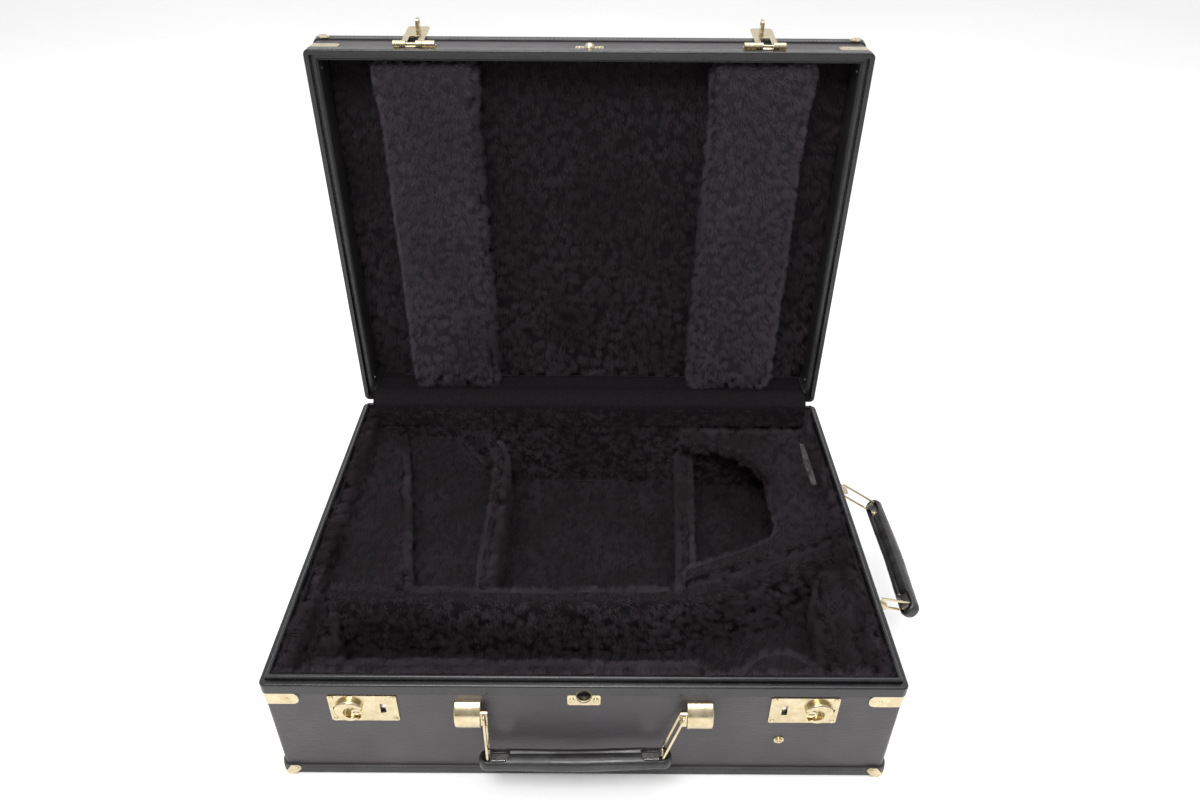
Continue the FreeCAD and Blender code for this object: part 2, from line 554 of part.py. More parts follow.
def ring():
    """Rectangular wire ring hanging from the origin, its bars along Y."""
    w, l, c = RING_W / 2, RING_L, 3.0
    k = c * (1 - math.sqrt(0.5))
    sides = [Part.makeLine(V(0, -w + c, 0), V(0, w - c, 0)),
             Part.Arc(V(0, w - c, 0), V(0, w - k, -k), V(0, w, -c)).toShape(),
             Part.makeLine(V(0, w, -c), V(0, w, -l + c)),
             Part.Arc(V(0, w, -l + c), V(0, w - k, -l + k), V(0, w - c, -l)).toShape(),
             Part.makeLine(V(0, w - c, -l), V(0, -w + c, -l)),
             Part.Arc(V(0, -w + c, -l), V(0, -w + k, -l + k), V(0, -w, -l + c)).toShape(),
             Part.makeLine(V(0, -w, -l + c), V(0, -w, -c)),
             Part.Arc(V(0, -w, -c), V(0, -w + k, -k), V(0, -w + c, 0)).toShape()]
    round_wire = Part.Wire(Part.makeCircle(WIRE_R, V(0, 0, 0), V(0, 1, 0)))
    return Part.Wire(sides).makePipeShell([round_wire], True, True)


def eye_places(near):
    """Bottom bars of the two rings; near is -1 when the handle has slid to the left, 1 to the right."""
    left_tilt, right_tilt = (NEAR_TILT, FAR_TILT) if near < 0 else (FAR_TILT, NEAR_TILT)
    a, b = math.radians(left_tilt), math.radians(right_tilt)
    left = V(-SWIVEL_X + RING_L * math.sin(a), -AXIS_OUT, -RING_L * math.cos(a))
    right = V(SWIVEL_X - RING_L * math.sin(b), -AXIS_OUT, -RING_L * math.cos(b))
    return left, right, left_tilt, right_tilt


def handle_core(span):
    """Spring-steel strip rolled into an eye at each end; the far eye is a little wider."""
    half, out, t = 3.7, 3.2, 1.5
    strip = box(0, span, -half, half, -out, -out + t)
    eyes = [rod(x, -half, 0, out, 2 * half, V(0, 1, 0)) for x in (0, span)]
    bores = [rod(x, -half - 1, 0, r, 2 * half + 2, V(0, 1, 0)) for x, r in ((0, 1.75), (span, 1.95))]
    return strip.fuse(eyes).cut(bores[0]).cut(bores[1]).removeSplitter()


def handle_grip(span):
    """Leather grip round the core, with an open pocket over each eye."""
    top, half, wall = 3.0, GRIP_W / 2, 3.4
    grip = box(-GRIP_END, span + GRIP_END, -half, half, top - GRIP_H, top)
    ends = [e for e in grip.Edges if e.BoundBox.YLength > GRIP_W - 1]
    grip = grip.makeFillet(6.5, ends)
    rims = [e for e in grip.Edges if min(abs(e.BoundBox.YMin + half), abs(e.BoundBox.YMax - half)) < 1e-4
            and e.BoundBox.YLength < 1e-4]
    grip = grip.makeFillet(3.2, rims)
    for x0, x1 in ((-4.5, 18.0), (span - 18.0, span + 4.5)):
        grip = grip.cut(box(x0, x1, -7.7, 7.7, -wall, top + 1))
    return grip.cut(box(17, span - 17, -3.8, 3.8, -3.3, -1.6))


def handle_set(prefix, ends, near, swing, place):
    """Adds one handle's pieces; place moves them from the local frame onto their wall."""
    left, right, left_tilt, right_tilt = eye_places(near)
    span = (right - left).Length
    rise = math.degrees(math.atan2(right.z - left.z, right.x - left.x))
    axis = V(0, -AXIS_OUT, 0)

    def hung(solid):
        return place(turned(solid, axis, V(-1, 0, 0), swing))

    nodes[prefix + "_mounts"] = place(handle_mounts())
    nodes[prefix + "_swivels"] = hung(swivels())
    for end, x, lean in ((ends[0], -SWIVEL_X, -left_tilt), (ends[1], SWIVEL_X, right_tilt)):
        loop = turned(ring(), V(0, 0, 0), V(0, 1, 0), lean)
        loop.translate(V(x, -AXIS_OUT, 0))
        nodes[prefix + "_ring_" + end] = hung(loop)
    for name, solid in (("core", handle_core(span)), ("grip", handle_grip(span))):
        solid = turned(solid, V(0, 0, 0), V(0, 1, 0), -rise)
        solid.translate(left)
        nodes[prefix + "_handle_" + name] = hung(solid)


def on_front(solid):
    done = solid.copy()
    done.translate(V(0, FRONT, AXIS_Z))
    return done


def on_side(solid):
    done = turned(solid, V(0, 0, 0), V(0, 0, 1), 90)
    done.translate(V(SIDE, 0, AXIS_Z))
    return done


# ---- fasteners -------------------------------------------------------------------------------
def corner_rivets(sx, cap_z, plate_z, side_length):
    """Rivets of the caps and strips at the two corners on one side; sx is -1 for the left."""
    rows = []
    side, x, y = V(sx, 0, 0), WIDTH / 2, DEPTH / 2
    for sy in (-1, 1):
        out = V(0, sy, 0)
        rows.append((sx * (x - CAP_RIVET_IN), sy * (y + 1.5), cap_z, out, 1.8, 0.7, 0.9, 5.0))
        rows.append((sx * (x - PLATE_RIVET_IN), sy * (y - 0.6), plate_z, out, 1.3, 0.5, 0.8, 5.0))
        rows.append((sx * (x + 1.5), sy * (y - CAP_RIVET_IN), cap_z, side, 1.8, 0.7, 0.9, 5.0))
        rows.append((sx * (x - 0.6), sy * (y - PLATE_RIVET_IN), plate_z, side, 1.3, 0.5, 0.8, side_length))
    return rows


def tray_fasteners():
    """Places of the tray's studs: (x, y, z, out, head radius, head height, shank radius, length)."""
    front, back, plate_y = V(0, -1, 0), V(0, 1, 0), FRONT - GAP - LOCK_T
    rows = []
    for sx in (-1, 1):
        for dx in (-26.5, 26.5):
            for dz in (-14.6, 14.6):
                rows.append((sx * LOCK_X + dx, plate_y, LOCK_Z + dz, front, 2.1, 0.8, 1.1, 6.0))
        rows.append((sx * 10.4, FRONT - 1.1, SKIRT_Z - 7.0, front, 2.5, 1.0, 1.1, 6.0))
        rows += corner_rivets(sx, CAP_RIVET, SKIRT_Z - 0.3 - PLATE_H / 2, 5.0)
        for i in range(4):
            rows.append((sx * (30 + 60 * i), BACK + 1.5, HINGE_Z - 13.0, back, 2.6, 0.9, 1.2, 7.0))
    return rows


def lid_fasteners():
    """The lid's studs, lid shut; the corner rivets show their clenched ends inside."""
    front, back = V(0, -1, 0), V(0, 1, 0)
    rows = []
    for sx in (-1, 1):
        rows.append((sx * 10.0, FRONT - 1.1, LID_SKIRT_Z + 5.2, front, 2.0, 0.7, 1.0, 5.0))
        for dx in (-14.0, 19.5):
            rows.append((sx * (HASP_X - dx), FRONT - 1.1, HASP_Z + 7.8, front, 1.8, 0.7, 1.0, 5.0))
        rows += corner_rivets(sx, TOP_Z - CAP_RIVET, LID_SKIRT_Z + 0.6 + PLATE_H / 2, 11.0)
        for i in range(4):
            rows.append((sx * (30 + 60 * i), BACK + 1.5, HINGE_Z + 14.8, back, 2.6, 0.9, 1.2, 7.0))
    return rows


def clenched_ends():
    """Rivet heads inside the lid's side walls."""
    x = WIDTH / 2 - PLY_IN - GAP - LID_LINING
    y, z = DEPTH / 2 - PLATE_RIVET_IN, LID_SKIRT_Z + 0.6 + PLATE_H / 2
    return [rod(sx * x, sy * y, z, 2.6, 0.8, V(-sx, 0, 0)) for sx in (-1, 1) for sy in (-1, 1)]


def fasten(group, rows, pieces):
    """Makes a group of studs and drills the named pieces for their shanks."""
    nodes[group] = Part.makeCompound([stud(*row) for row in rows])
    drills = Part.makeCompound([shank(x, y, z, out, r, l) for x, y, z, out, _, _, r, l in rows])
    for name in pieces:
        nodes[name] = nodes[name].cut(drills)


# ---- assembly --------------------------------------------------------------------------------
def build_tray():
    nodes["base_box"] = tray_box()
    nodes["base_covering"] = tray_covering()
    nodes["base_welt"] = tray_binding()
    nodes["base_rim"] = tray_rim()
    nodes["base_lining"] = tray_lining()
    nodes["front_partition"] = trough_partition()
    nodes["front_bolster"] = front_roll()
    nodes["half_round_pad"] = half_round_pad()
    nodes["trough_end_pads"] = trough_end_pads()
    nodes["left_block"] = left_block()
    nodes["well_divider"] = well_divider()
    nodes["bell_saddle"] = bell_saddle()
    nodes["accessory_box"] = accessory_box()
    nodes["accessory_lid"] = accessory_lid()
    nodes["pull_tab"] = pull_tab()
    nodes["hinge_gusset"] = hinge_gusset()
    nodes["base_corner_plates"] = corner_plates(SKIRT_Z - 0.3 - PLATE_H)
    nodes["base_corner_caps"] = corner_caps()
    nodes["centre_socket"] = centre_socket()
    nodes["strap_stud"] = strap_stud()
    nodes["hinge_base_leaf"] = hinge_leaf(0, HINGE_Z - 22.0)
    nodes["hinge_pin"] = hinge_pin()


def build_locks():
    pairs = {"lock_plate": lock_plate(), "thumb_slide": thumb_slide(), "lock_bolt": lock_bolt(),
             "key_cylinder": key_cylinder()}
    for name, left in pairs.items():
        nodes[name + "_left"] = left
        nodes[name + "_right"] = mirror_x(left)
    nodes["lock_cases"] = Part.makeCompound([lock_case(), mirror_x(lock_case())])
    for name in ("base_box", "base_covering"):
        nodes[name] = nodes[name].cut(lock_mortise()).cut(mirror_x(lock_mortise()))


def build_lid():
    """Builds the lid shut, then opens it with its hasps thrown back."""
    shut = {"lid_box": lid_box(), "lid_covering": lid_covering(), "lid_welt": flip_to_lid(tray_binding()),
            "lid_rim": lid_rim(), "lid_lining": lid_lining(),
            "lid_pad_left": lid_pad(-166.0), "lid_pad_right": lid_pad(174.0),
            "lid_corner_plates": corner_plates(LID_SKIRT_Z + 0.6),
            "lid_corner_caps": flip_to_lid(corner_caps()),
            "hasp_base_left": hasp_base(), "hasp_base_right": mirror_x(hasp_base()),
            "centre_boss": centre_boss(), "hinge_lid_leaf": hinge_leaf(1, HINGE_Z + 24.0)}
    nodes.update(shut)
    fasten("lid_fasteners", lid_fasteners(),
           ["lid_box", "lid_covering", "lid_welt", "lid_corner_plates", "lid_corner_caps", "hasp_base_left",
            "hasp_base_right", "centre_boss", "hinge_lid_leaf", "lid_lining"])
    extra = [hasp_pin(), mirror_x(hasp_pin())] + clenched_ends()
    nodes["lid_fasteners"] = Part.makeCompound(nodes["lid_fasteners"].Solids + extra)
    thrown = turned(hasp(), hasp_pin_axis(), V(-1, 0, 0), HASP_REST)
    nodes["hasp_left"] = thrown
    nodes["hasp_right"] = mirror_x(thrown)
    for name in list(shut) + ["lid_fasteners", "hasp_left", "hasp_right"]:
        nodes[name] = turned(nodes[name], V(0, HINGE_Y, HINGE_Z), V(-1, 0, 0), LID_OPEN)


build_tray()
build_locks()
handle_set("front", ("left", "right"), -1, FRONT_SWING, on_front)
handle_set("side", ("front", "rear"), 1, SIDE_SWING, on_side)
fasten("base_fasteners", tray_fasteners(),
       ["base_box", "base_covering", "base_welt", "base_corner_plates", "base_corner_caps", "lock_plate_left",
        "lock_plate_right", "centre_socket", "hinge_base_leaf"])
stud_hole = rod(176.0, FRONT - 2, 54.0, 1.45, 8.0, V(0, 1, 0))
for name in ("base_box", "base_covering"):
    nodes[name] = nodes[name].cut(stud_hole)
build_lid()

os.makedirs("parts", exist_ok=True)
for name, shape in nodes.items():
    shape.exportStep(os.path.join("parts", name + ".step"))
print(len(nodes), "nodes written")
for name, shape in nodes.items():
    if not shape.isValid() or not shape.Solids:
        print("CHECK", name, "valid", shape.isValid(), "solids", len(shape.Solids))
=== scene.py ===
import json
import math

import bmesh
import bpy
from mathutils import Matrix, Vector, noise


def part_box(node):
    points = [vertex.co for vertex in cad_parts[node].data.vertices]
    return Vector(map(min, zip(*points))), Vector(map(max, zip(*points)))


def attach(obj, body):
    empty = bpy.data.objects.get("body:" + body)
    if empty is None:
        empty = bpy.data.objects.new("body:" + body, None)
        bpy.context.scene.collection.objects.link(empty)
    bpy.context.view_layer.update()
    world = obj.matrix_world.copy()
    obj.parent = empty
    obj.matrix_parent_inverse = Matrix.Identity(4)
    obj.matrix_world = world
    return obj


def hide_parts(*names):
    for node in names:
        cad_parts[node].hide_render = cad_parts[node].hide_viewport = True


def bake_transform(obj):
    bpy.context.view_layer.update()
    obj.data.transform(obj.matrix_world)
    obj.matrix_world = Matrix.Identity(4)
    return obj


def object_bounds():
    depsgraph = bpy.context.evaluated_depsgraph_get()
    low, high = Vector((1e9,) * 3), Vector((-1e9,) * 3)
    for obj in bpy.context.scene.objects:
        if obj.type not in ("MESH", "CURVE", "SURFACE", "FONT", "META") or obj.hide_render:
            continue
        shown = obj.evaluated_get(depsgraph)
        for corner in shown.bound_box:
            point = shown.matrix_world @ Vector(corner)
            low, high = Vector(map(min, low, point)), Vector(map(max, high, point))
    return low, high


# Looks for the hard instrument case: materials for the CAD pieces, and soft pieces of their own for the
# padding, the gusset, the grips and the pull tab. Metres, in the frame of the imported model.

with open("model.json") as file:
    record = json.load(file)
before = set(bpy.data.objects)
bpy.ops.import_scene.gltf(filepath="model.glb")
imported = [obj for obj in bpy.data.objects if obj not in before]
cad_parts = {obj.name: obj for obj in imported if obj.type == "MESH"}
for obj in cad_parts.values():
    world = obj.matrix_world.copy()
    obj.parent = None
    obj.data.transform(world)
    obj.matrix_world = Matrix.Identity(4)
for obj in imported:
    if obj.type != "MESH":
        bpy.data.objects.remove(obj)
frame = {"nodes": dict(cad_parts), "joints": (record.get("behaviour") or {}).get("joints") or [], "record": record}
cad_low, cad_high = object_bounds()
NODES = frame["nodes"]
JOINTS = {joint["name"]: joint for joint in frame["joints"]}
MM = 0.001

HINGE = Vector(JOINTS["lid_hinge"]["pos_m"])
LID_TURN = math.radians(-JOINTS["lid_hinge"]["range_deg"][0])
OPEN = (Matrix.Translation(HINGE) @ Matrix.Rotation(LID_TURN, 4, Vector(JOINTS["lid_hinge"]["axis"]))
        @ Matrix.Translation(-HINGE))    # takes a point of the shut lid to the open pose


# ---- material helpers ------------------------------------------------------------------------
class Shader:
    """A material's node tree, with short calls to add nodes and join them."""

    def __init__(self, name):
        self.mat = bpy.data.materials.new(name)
        self.mat.use_nodes = True
        self.tree = self.mat.node_tree
        self.bsdf = self.tree.nodes["Principled BSDF"]
        self.place = self.tree.nodes.new("ShaderNodeTexCoord").outputs["Object"]

    def add(self, kind, **inputs):
        node = self.tree.nodes.new("ShaderNode" + kind)
        for name, value in inputs.items():
            node.inputs[name.replace("_", " ")].default_value = value
        return node

    def join(self, source, target):
        self.tree.links.new(source, target)

    def set(self, **inputs):
        for name, value in inputs.items():
            self.bsdf.inputs[name.replace("_", " ")].default_value = value

    def stretched(self, x, y, z):
        """Object coordinates, in metres, scaled along each axis."""
        mapping = self.add("Mapping")
        mapping.inputs["Scale"].default_value = (x, y, z)
        self.join(self.place, mapping.inputs["Vector"])
        return mapping.outputs["Vector"]

    def noise(self, scale, detail=3.0, vector=None):
        node = self.add("TexNoise", Scale=scale, Detail=detail)
        self.join(vector or self.place, node.inputs["Vector"])
        return node.outputs["Fac"]

    def cells(self, scale, vector=None):
        node = self.add("TexVoronoi", Scale=scale)
        node.feature = "SMOOTH_F1"
        self.join(vector or self.place, node.inputs["Vector"])
        return node.outputs["Distance"]

    def ramp(self, fac, low, high, start=0.3, end=0.7):
        """Maps a 0-1 pattern to a span of values."""
        node = self.add("MapRange")
        for name, value in (("From Min", start), ("From Max", end), ("To Min", low), ("To Max", high)):
            node.inputs[name].default_value = value
        self.join(fac, node.inputs["Value"])
        return node.outputs["Result"]

    def blend(self, fac, dark, light):
        """Mixes two colours by a 0-1 pattern."""
        node = self.tree.nodes.new("ShaderNodeValToRGB")
        node.color_ramp.elements[0].position = 0.32
        node.color_ramp.elements[1].position = 0.70
        node.color_ramp.elements[0].color = (*dark, 1.0)
        node.color_ramp.elements[1].color = (*light, 1.0)
        self.join(fac, node.inputs["Fac"])
        return node.outputs["Color"]

    def bump(self, height, depth, strength=1.0, under=None):
        node = self.add("Bump", Strength=strength, Distance=depth)
        self.join(height, node.inputs["Height"])
        if under is not None:
            self.join(under, node.inputs["Normal"])
        return node.outputs["Normal"]

    def finish(self, colour=None, roughness=None, normal=None):
        for source, name in ((colour, "Base Color"), (roughness, "Roughness"), (normal, "Normal")):
            if source is not None:
                self.join(source, self.bsdf.inputs[name])
        return self.mat


# ---- materials -------------------------------------------------------------------------------
def leatherette():
    """Black grained covering: a fine grain with short level streaks, and broad changes of sheen."""
    s = Shader("leatherette")
    streaks = s.noise(520.0, 4.0, s.stretched(0.28, 0.28, 1.0))
    grain = s.cells(900.0, s.stretched(0.7, 0.7, 1.0))
    normal = s.bump(streaks, 0.45 * MM, 0.85, s.bump(grain, 0.30 * MM, 0.6))
    colour = s.blend(s.noise(14.0, 5.0), (0.040, 0.0345, 0.0385), (0.054, 0.047, 0.052))
    return s.finish(colour, s.ramp(s.noise(30.0, 4.0), 0.40, 0.54), normal)


def binding():
    """Black vinyl tape with a light crease pattern."""
    s = Shader("binding")
    normal = s.bump(s.noise(700.0, 3.0), 0.15 * MM, 0.5, s.bump(s.noise(90.0, 3.0), 0.35 * MM, 0.5))
    colour = s.blend(s.noise(40.0, 4.0), (0.017, 0.016, 0.017), (0.030, 0.029, 0.030))
    return s.finish(colour, s.ramp(s.noise(60.0), 0.38, 0.56), normal)


def rim_moulding():
    """Black satin moulding, faintly rubbed."""
    s = Shader("rim_moulding")
    colour = s.blend(s.noise(55.0, 6.0), (0.006, 0.006, 0.007), (0.012, 0.012, 0.013))
    normal = s.bump(s.noise(420.0, 4.0), 0.08 * MM, 0.6)
    return s.finish(colour, s.ramp(s.noise(120.0, 5.0), 0.17, 0.32), normal)


def board():
    """Plywood: long grain with darker early wood."""
    s = Shader("board")
    grain = s.noise(60.0, 6.0, s.stretched(0.12, 1.0, 1.0))
    colour = s.blend(grain, (0.30, 0.19, 0.10), (0.55, 0.40, 0.24))
    return s.finish(colour, s.ramp(grain, 0.55, 0.75), s.bump(grain, 0.2 * MM))


def plush(name, dark, light):
    """The cloth under the pile, near black."""
    s = Shader(name)
    tufts = s.noise(420.0, 3.0)
    s.set(Specular_IOR_Level=0.06)
    return s.finish(s.blend(tufts, dark, light), s.ramp(tufts, 0.95, 0.85), s.bump(tufts, 0.8 * MM, 0.8))


def pile(name, dark, light, sheen):
    """Strands of pile, with painted sheen: the lighter colour in patches stands in for the sheen where they lie
    another way.
    """
    s = Shader(name)
    patches = s.noise(15.0, 5.0, s.stretched(1.0, 1.0, 0.6))
    s.set(Sheen_Weight=sheen, Sheen_Roughness=0.40, Specular_IOR_Level=0.22)
    s.bsdf.inputs["Sheen Tint"].default_value = (0.68, 0.56, 0.64, 1.0)
    # painted sheen: the colour runs from dark to light over the patches; the roughness change over them is real
    return s.finish(s.blend(patches, dark, light), s.ramp(patches, 0.80, 0.55))


def lid_cloth():
    """Smooth black lining cloth with a fine weave."""
    s = Shader("lid_cloth")
    warp = s.noise(1500.0, 1.0, s.stretched(1.0, 0.2, 0.2))
    weft = s.noise(1500.0, 1.0, s.stretched(0.2, 1.0, 1.0))
    colour = s.blend(s.noise(25.0, 4.0), (0.009, 0.009, 0.010), (0.017, 0.016, 0.018))
    weave = s.bump(warp, 0.08 * MM, 0.6, s.bump(weft, 0.08 * MM))
    return s.finish(colour, s.ramp(s.noise(80.0), 0.50, 0.68), weave)


def plated(name, colour, dull, smooth, rough):
    """Plated metal: softened edges, faint ripples from pressing, rubbed patches and fine scratches."""
    s = Shader(name)
    s.set(Metallic=1.0)
    edge = s.add("Bevel", Radius=0.45 * MM)
    ripple = s.bump(s.noise(70.0, 2.0), 0.25 * MM, 0.35, edge.outputs["Normal"])
    scratch = s.bump(s.noise(900.0, 2.0, s.stretched(1.0, 1.0, 0.12)), 0.02 * MM, 0.5, ripple)
    tint = s.blend(s.noise(130.0, 5.0), dull, colour)
    return s.finish(tint, s.ramp(s.noise(160.0, 6.0), smooth, rough), scratch)


def grip_leather():
    """Black leather with a pebbled grain and a rubbed shine."""
    s = Shader("grip_leather")
    pebbles = s.cells(780.0)
    creases = s.noise(120.0, 4.0, s.stretched(1.0, 0.5, 0.5))
    normal = s.bump(pebbles, 0.12 * MM, 0.4, s.bump(creases, 0.30 * MM, 0.35))
    colour = s.blend(s.noise(70.0, 5.0), (0.011, 0.010, 0.011), (0.030, 0.028, 0.029))
    return s.finish(colour, s.ramp(s.noise(45.0, 4.0), 0.26, 0.46), normal)


def tab_suede():
    """Pale grey-brown suede with a short nap."""
    s = Shader("tab_suede")
    s.set(Sheen_Weight=0.3)
    nap = s.noise(900.0, 4.0)
    colour = s.blend(s.noise(160.0, 5.0), (0.030, 0.028, 0.028), (0.062, 0.058, 0.056))
    return s.finish(colour, s.ramp(nap, 0.75, 0.95), s.bump(nap, 0.15 * MM))


def thread(name, low, high):
    """Waxed sewing thread."""
    s = Shader(name)
    twist = s.noise(1600.0, 1.0)
    return s.finish(s.blend(twist, low, high), s.ramp(twist, 0.4, 0.6), s.bump(twist, 0.05 * MM))


PAINT = {
    "leatherette": leatherette(),
    "binding": binding(),
    "rim": rim_moulding(),
    "board": board(),
    "plush": plush("plush", (0.0070, 0.0060, 0.0068), (0.0120, 0.0104, 0.0116)),
    "lid_cloth": lid_cloth(),
    "brass": plated("brass", (0.66, 0.57, 0.39), (0.52, 0.43, 0.26), 0.15, 0.30),
    "steel": plated("steel", (0.72, 0.71, 0.69), (0.55, 0.54, 0.52), 0.22, 0.38),
    "grip_leather": grip_leather(),
    "tab_leather": tab_suede(),
}
PAD_PLUSH = plush("pad_plush", (0.018, 0.016, 0.018), (0.026, 0.023, 0.026))
# the light colour of each pile is painted sheen on its patches
DARK_PILE = pile("dark_pile", (0.012, 0.0094, 0.0110), (0.046, 0.0365, 0.0425), 0.32)
GREY_PILE = pile("grey_pile", (0.044, 0.037, 0.043), (0.074, 0.062, 0.072), 0.40)
BLACK_THREAD = thread("black_thread", (0.002, 0.002, 0.002), (0.006, 0.006, 0.007))
GREY_THREAD = thread("grey_thread", (0.13, 0.13, 0.13), (0.28, 0.27, 0.26))


def paint_nodes():
    """Gives every CAD node the material of its slot, on the object, so that the mesh stays as it was."""
    for part in frame["record"]["subparts"]:
        for held in NODES[part["node"]].material_slots:
            held.link = "OBJECT"
            held.material = PAINT[part["material_slot"]]


# ---- mesh helpers ----------------------------------------------------------------------------
def new_piece(name, mesh, material):
    piece = bpy.data.objects.new(name, mesh)
    bpy.context.scene.collection.objects.link(piece)
    mesh.materials.clear()
    mesh.materials.append(material)
    for face in mesh.polygons:
        face.use_smooth = True
    return piece


def from_rows(name, rows, material, closed_rows=True, closed_ends=True, loop=False):
    """Skins rows of points: each row is a ring or a line, and the run of rows may close on itself."""
    bm = bmesh.new()
    grid = [[bm.verts.new(point) for point in row] for row in rows]
    count = len(rows[0])
    pairs = list(zip(grid, grid[1:])) + ([(grid[-1], grid[0])] if loop else [])
    for one, two in pairs:
        for i in range(count if closed_rows else count - 1):
            k = (i + 1) % count
            bm.faces.new((one[i], one[k], two[k], two[i]))
    if closed_ends and not loop:
        bm.faces.new(list(reversed(grid[0])))
        bm.faces.new(grid[-1])
    bmesh.ops.recalc_face_normals(bm, faces=bm.faces)
    mesh = bpy.data.meshes.new(name)
    bm.to_mesh(mesh)
    bm.free()
    return new_piece(name, mesh, material)


def settle(piece):
    """Applies the piece's modifiers to its mesh."""
    graph = bpy.context.evaluated_depsgraph_get()
    mesh = bpy.data.meshes.new_from_object(piece.evaluated_get(graph))
    piece.modifiers.clear()
    piece.data = mesh
    for face in mesh.polygons:
        face.use_smooth = True


def modify(piece, kind, **settings):
    made = piece.modifiers.new(kind.lower(), kind)
    for name, value in settings.items():
        setattr(made, name, value)
    return made


def ruffle(piece, swell, tuft, seed, swell_size=0.055, tuft_size=0.0065):
    """Moves the points along their normals: long soft undulation, and tufts of pile."""
    shift = Vector((seed * 1.7, seed * 0.9, seed * 2.3))
    moved = []
    for v in piece.data.vertices:
        p = v.co + shift
        amount = swell * noise.noise(p / swell_size) + tuft * noise.noise(p / tuft_size)
        amount += 0.5 * tuft * noise.noise(p / (0.45 * tuft_size))
        moved.append(v.co + v.normal * amount)
    for v, co in zip(piece.data.vertices, moved):
        v.co = co
    piece.data.update()


# ---- padding ---------------------------------------------------------------------------------
CLOTH_FRAMES = 20
MOST_SWELL = 3.5 * MM


def pad_blank(node, name, voxel, inset, rounds, material):
    """The pad's start: the CAD solid remeshed, drawn in a little and with its edges worn round."""
    piece = new_piece(name, NODES[node].data.copy(), material)
    modify(piece, "REMESH", mode="VOXEL", voxel_size=voxel)
    settle(piece)
    for v in piece.data.vertices:
        v.co -= v.normal * inset
    modify(piece, "SMOOTH", factor=0.5, iterations=rounds)
    settle(piece)
    piece.data.materials.clear()
    piece.data.materials.append(material)
    return piece


def glued(piece, away, depth=0.004):
    """Names the points that lie on the pad's glued face, which is the one facing away."""
    reach = max(v.co.dot(away) for v in piece.data.vertices)
    group = piece.vertex_groups.new(name="glued")
    group.add([v.index for v in piece.data.vertices if v.co.dot(away) > reach - depth], 1.0, "REPLACE")
    return group.name


def swell_pads(away_of):
    """Cloth pressure swells all the pads in one run, each held on the face that its value points to.
    Every point's move is cut to MOST_SWELL, so the swelling is bounded and isn't left to the solver."""
    starts = {}
    for pad, away in away_of.items():
        starts[pad] = [v.co.copy() for v in pad.data.vertices]
        cloth = modify(pad, "CLOTH")
        cloth.settings.quality = 4
        cloth.settings.mass = 0.3
        cloth.settings.use_pressure = True
        cloth.settings.uniform_pressure_force = 4.0
        cloth.settings.tension_stiffness = 12.0
        cloth.settings.compression_stiffness = 12.0
        cloth.settings.effector_weights.gravity = 0.0
        cloth.settings.vertex_group_mass = glued(pad, away)
        cloth.point_cache.frame_start = 1
        cloth.point_cache.frame_end = CLOTH_FRAMES
    for step in range(1, CLOTH_FRAMES + 1):
        bpy.context.scene.frame_set(step)
    for pad, points in starts.items():
        settle(pad)
        for v, start in zip(pad.data.vertices, points):
            move = v.co - start
            if move.length > MOST_SWELL:
                v.co = start + move.normalized() * MOST_SWELL
    bpy.context.scene.frame_set(1)


def skin_pad(pad, swell, tuft, seed):
    """One subdivision after the cloth run, then undulation and tufts."""
    modify(pad, "SUBSURF", levels=1, render_levels=1)
    settle(pad)
    ruffle(pad, swell, tuft, seed)


def add_hair(piece, away, per_m2, length, lean, seed, material=DARK_PILE):
    """Pile on the faces that don't face away, as seeded hair with simple children."""
    group = piece.vertex_groups.new(name="pile")
    shown = [v.index for v in piece.data.vertices if v.normal.dot(away) < 0.55]
    group.add(shown, 1.0, "REPLACE")
    area = sum(face.area for face in piece.data.polygons if face.normal.dot(away) < 0.55)
    piece.modifiers.new("pile", "PARTICLE_SYSTEM")
    system = piece.particle_systems[-1]
    system.seed = seed
    system.vertex_group_density = group.name
    hair = system.settings
    hair.type = "HAIR"
    hair.count = int(area * per_m2)
    hair.hair_length = length
    speed = hair.normal_factor       # the growing speed that the length stands for
    hair.hair_step = 3
    hair.render_step = 3
    hair.display_step = 2
    hair.object_align_factor = tuple(speed * x for x in lean)
    hair.factor_random = 0.22 * speed
    hair.child_type = "SIMPLE"
    hair.rendered_child_count = 30
    hair.child_percent = 1
    hair.child_radius = 4.5 * MM
    hair.clump_factor = 0.08
    hair.roughness_2 = 1.0 * MM
    hair.roughness_endpoint = 1.4 * MM
    hair.root_radius = 0.17
    hair.tip_radius = 0.05
    hair.radius_scale = 0.9 * MM
    piece.data.materials.append(material)
    hair.material = len(piece.data.materials)


DOWN = Vector((0, 0, -1))
INTO_LID = Vector((0, 1, 0))      # from the mouth of the open lid towards its top panel

# node, seed, cloth, undulation, smoothing rounds
TRAY_PADS = [
    ("front_partition", 1, True, 1.6, 5),
    ("front_bolster", 2, True, 1.6, 6),
    ("half_round_pad", 3, True, 1.0, 5),
    ("trough_end_pads", 4, True, 1.0, 5),
    ("left_block", 5, False, 1.2, 4),
    ("well_divider", 6, False, 0.8, 3),
    ("bell_saddle", 7, False, 1.5, 4),
    ("accessory_box", 8, False, 0.6, 2),
]
LID_PADS = [("lid_pad_left", 11), ("lid_pad_right", 12)]
LEAN = {
    "tray": (0.20, 0.10, 0.05),
    "lid": (0.10, -0.20, -0.40),
}


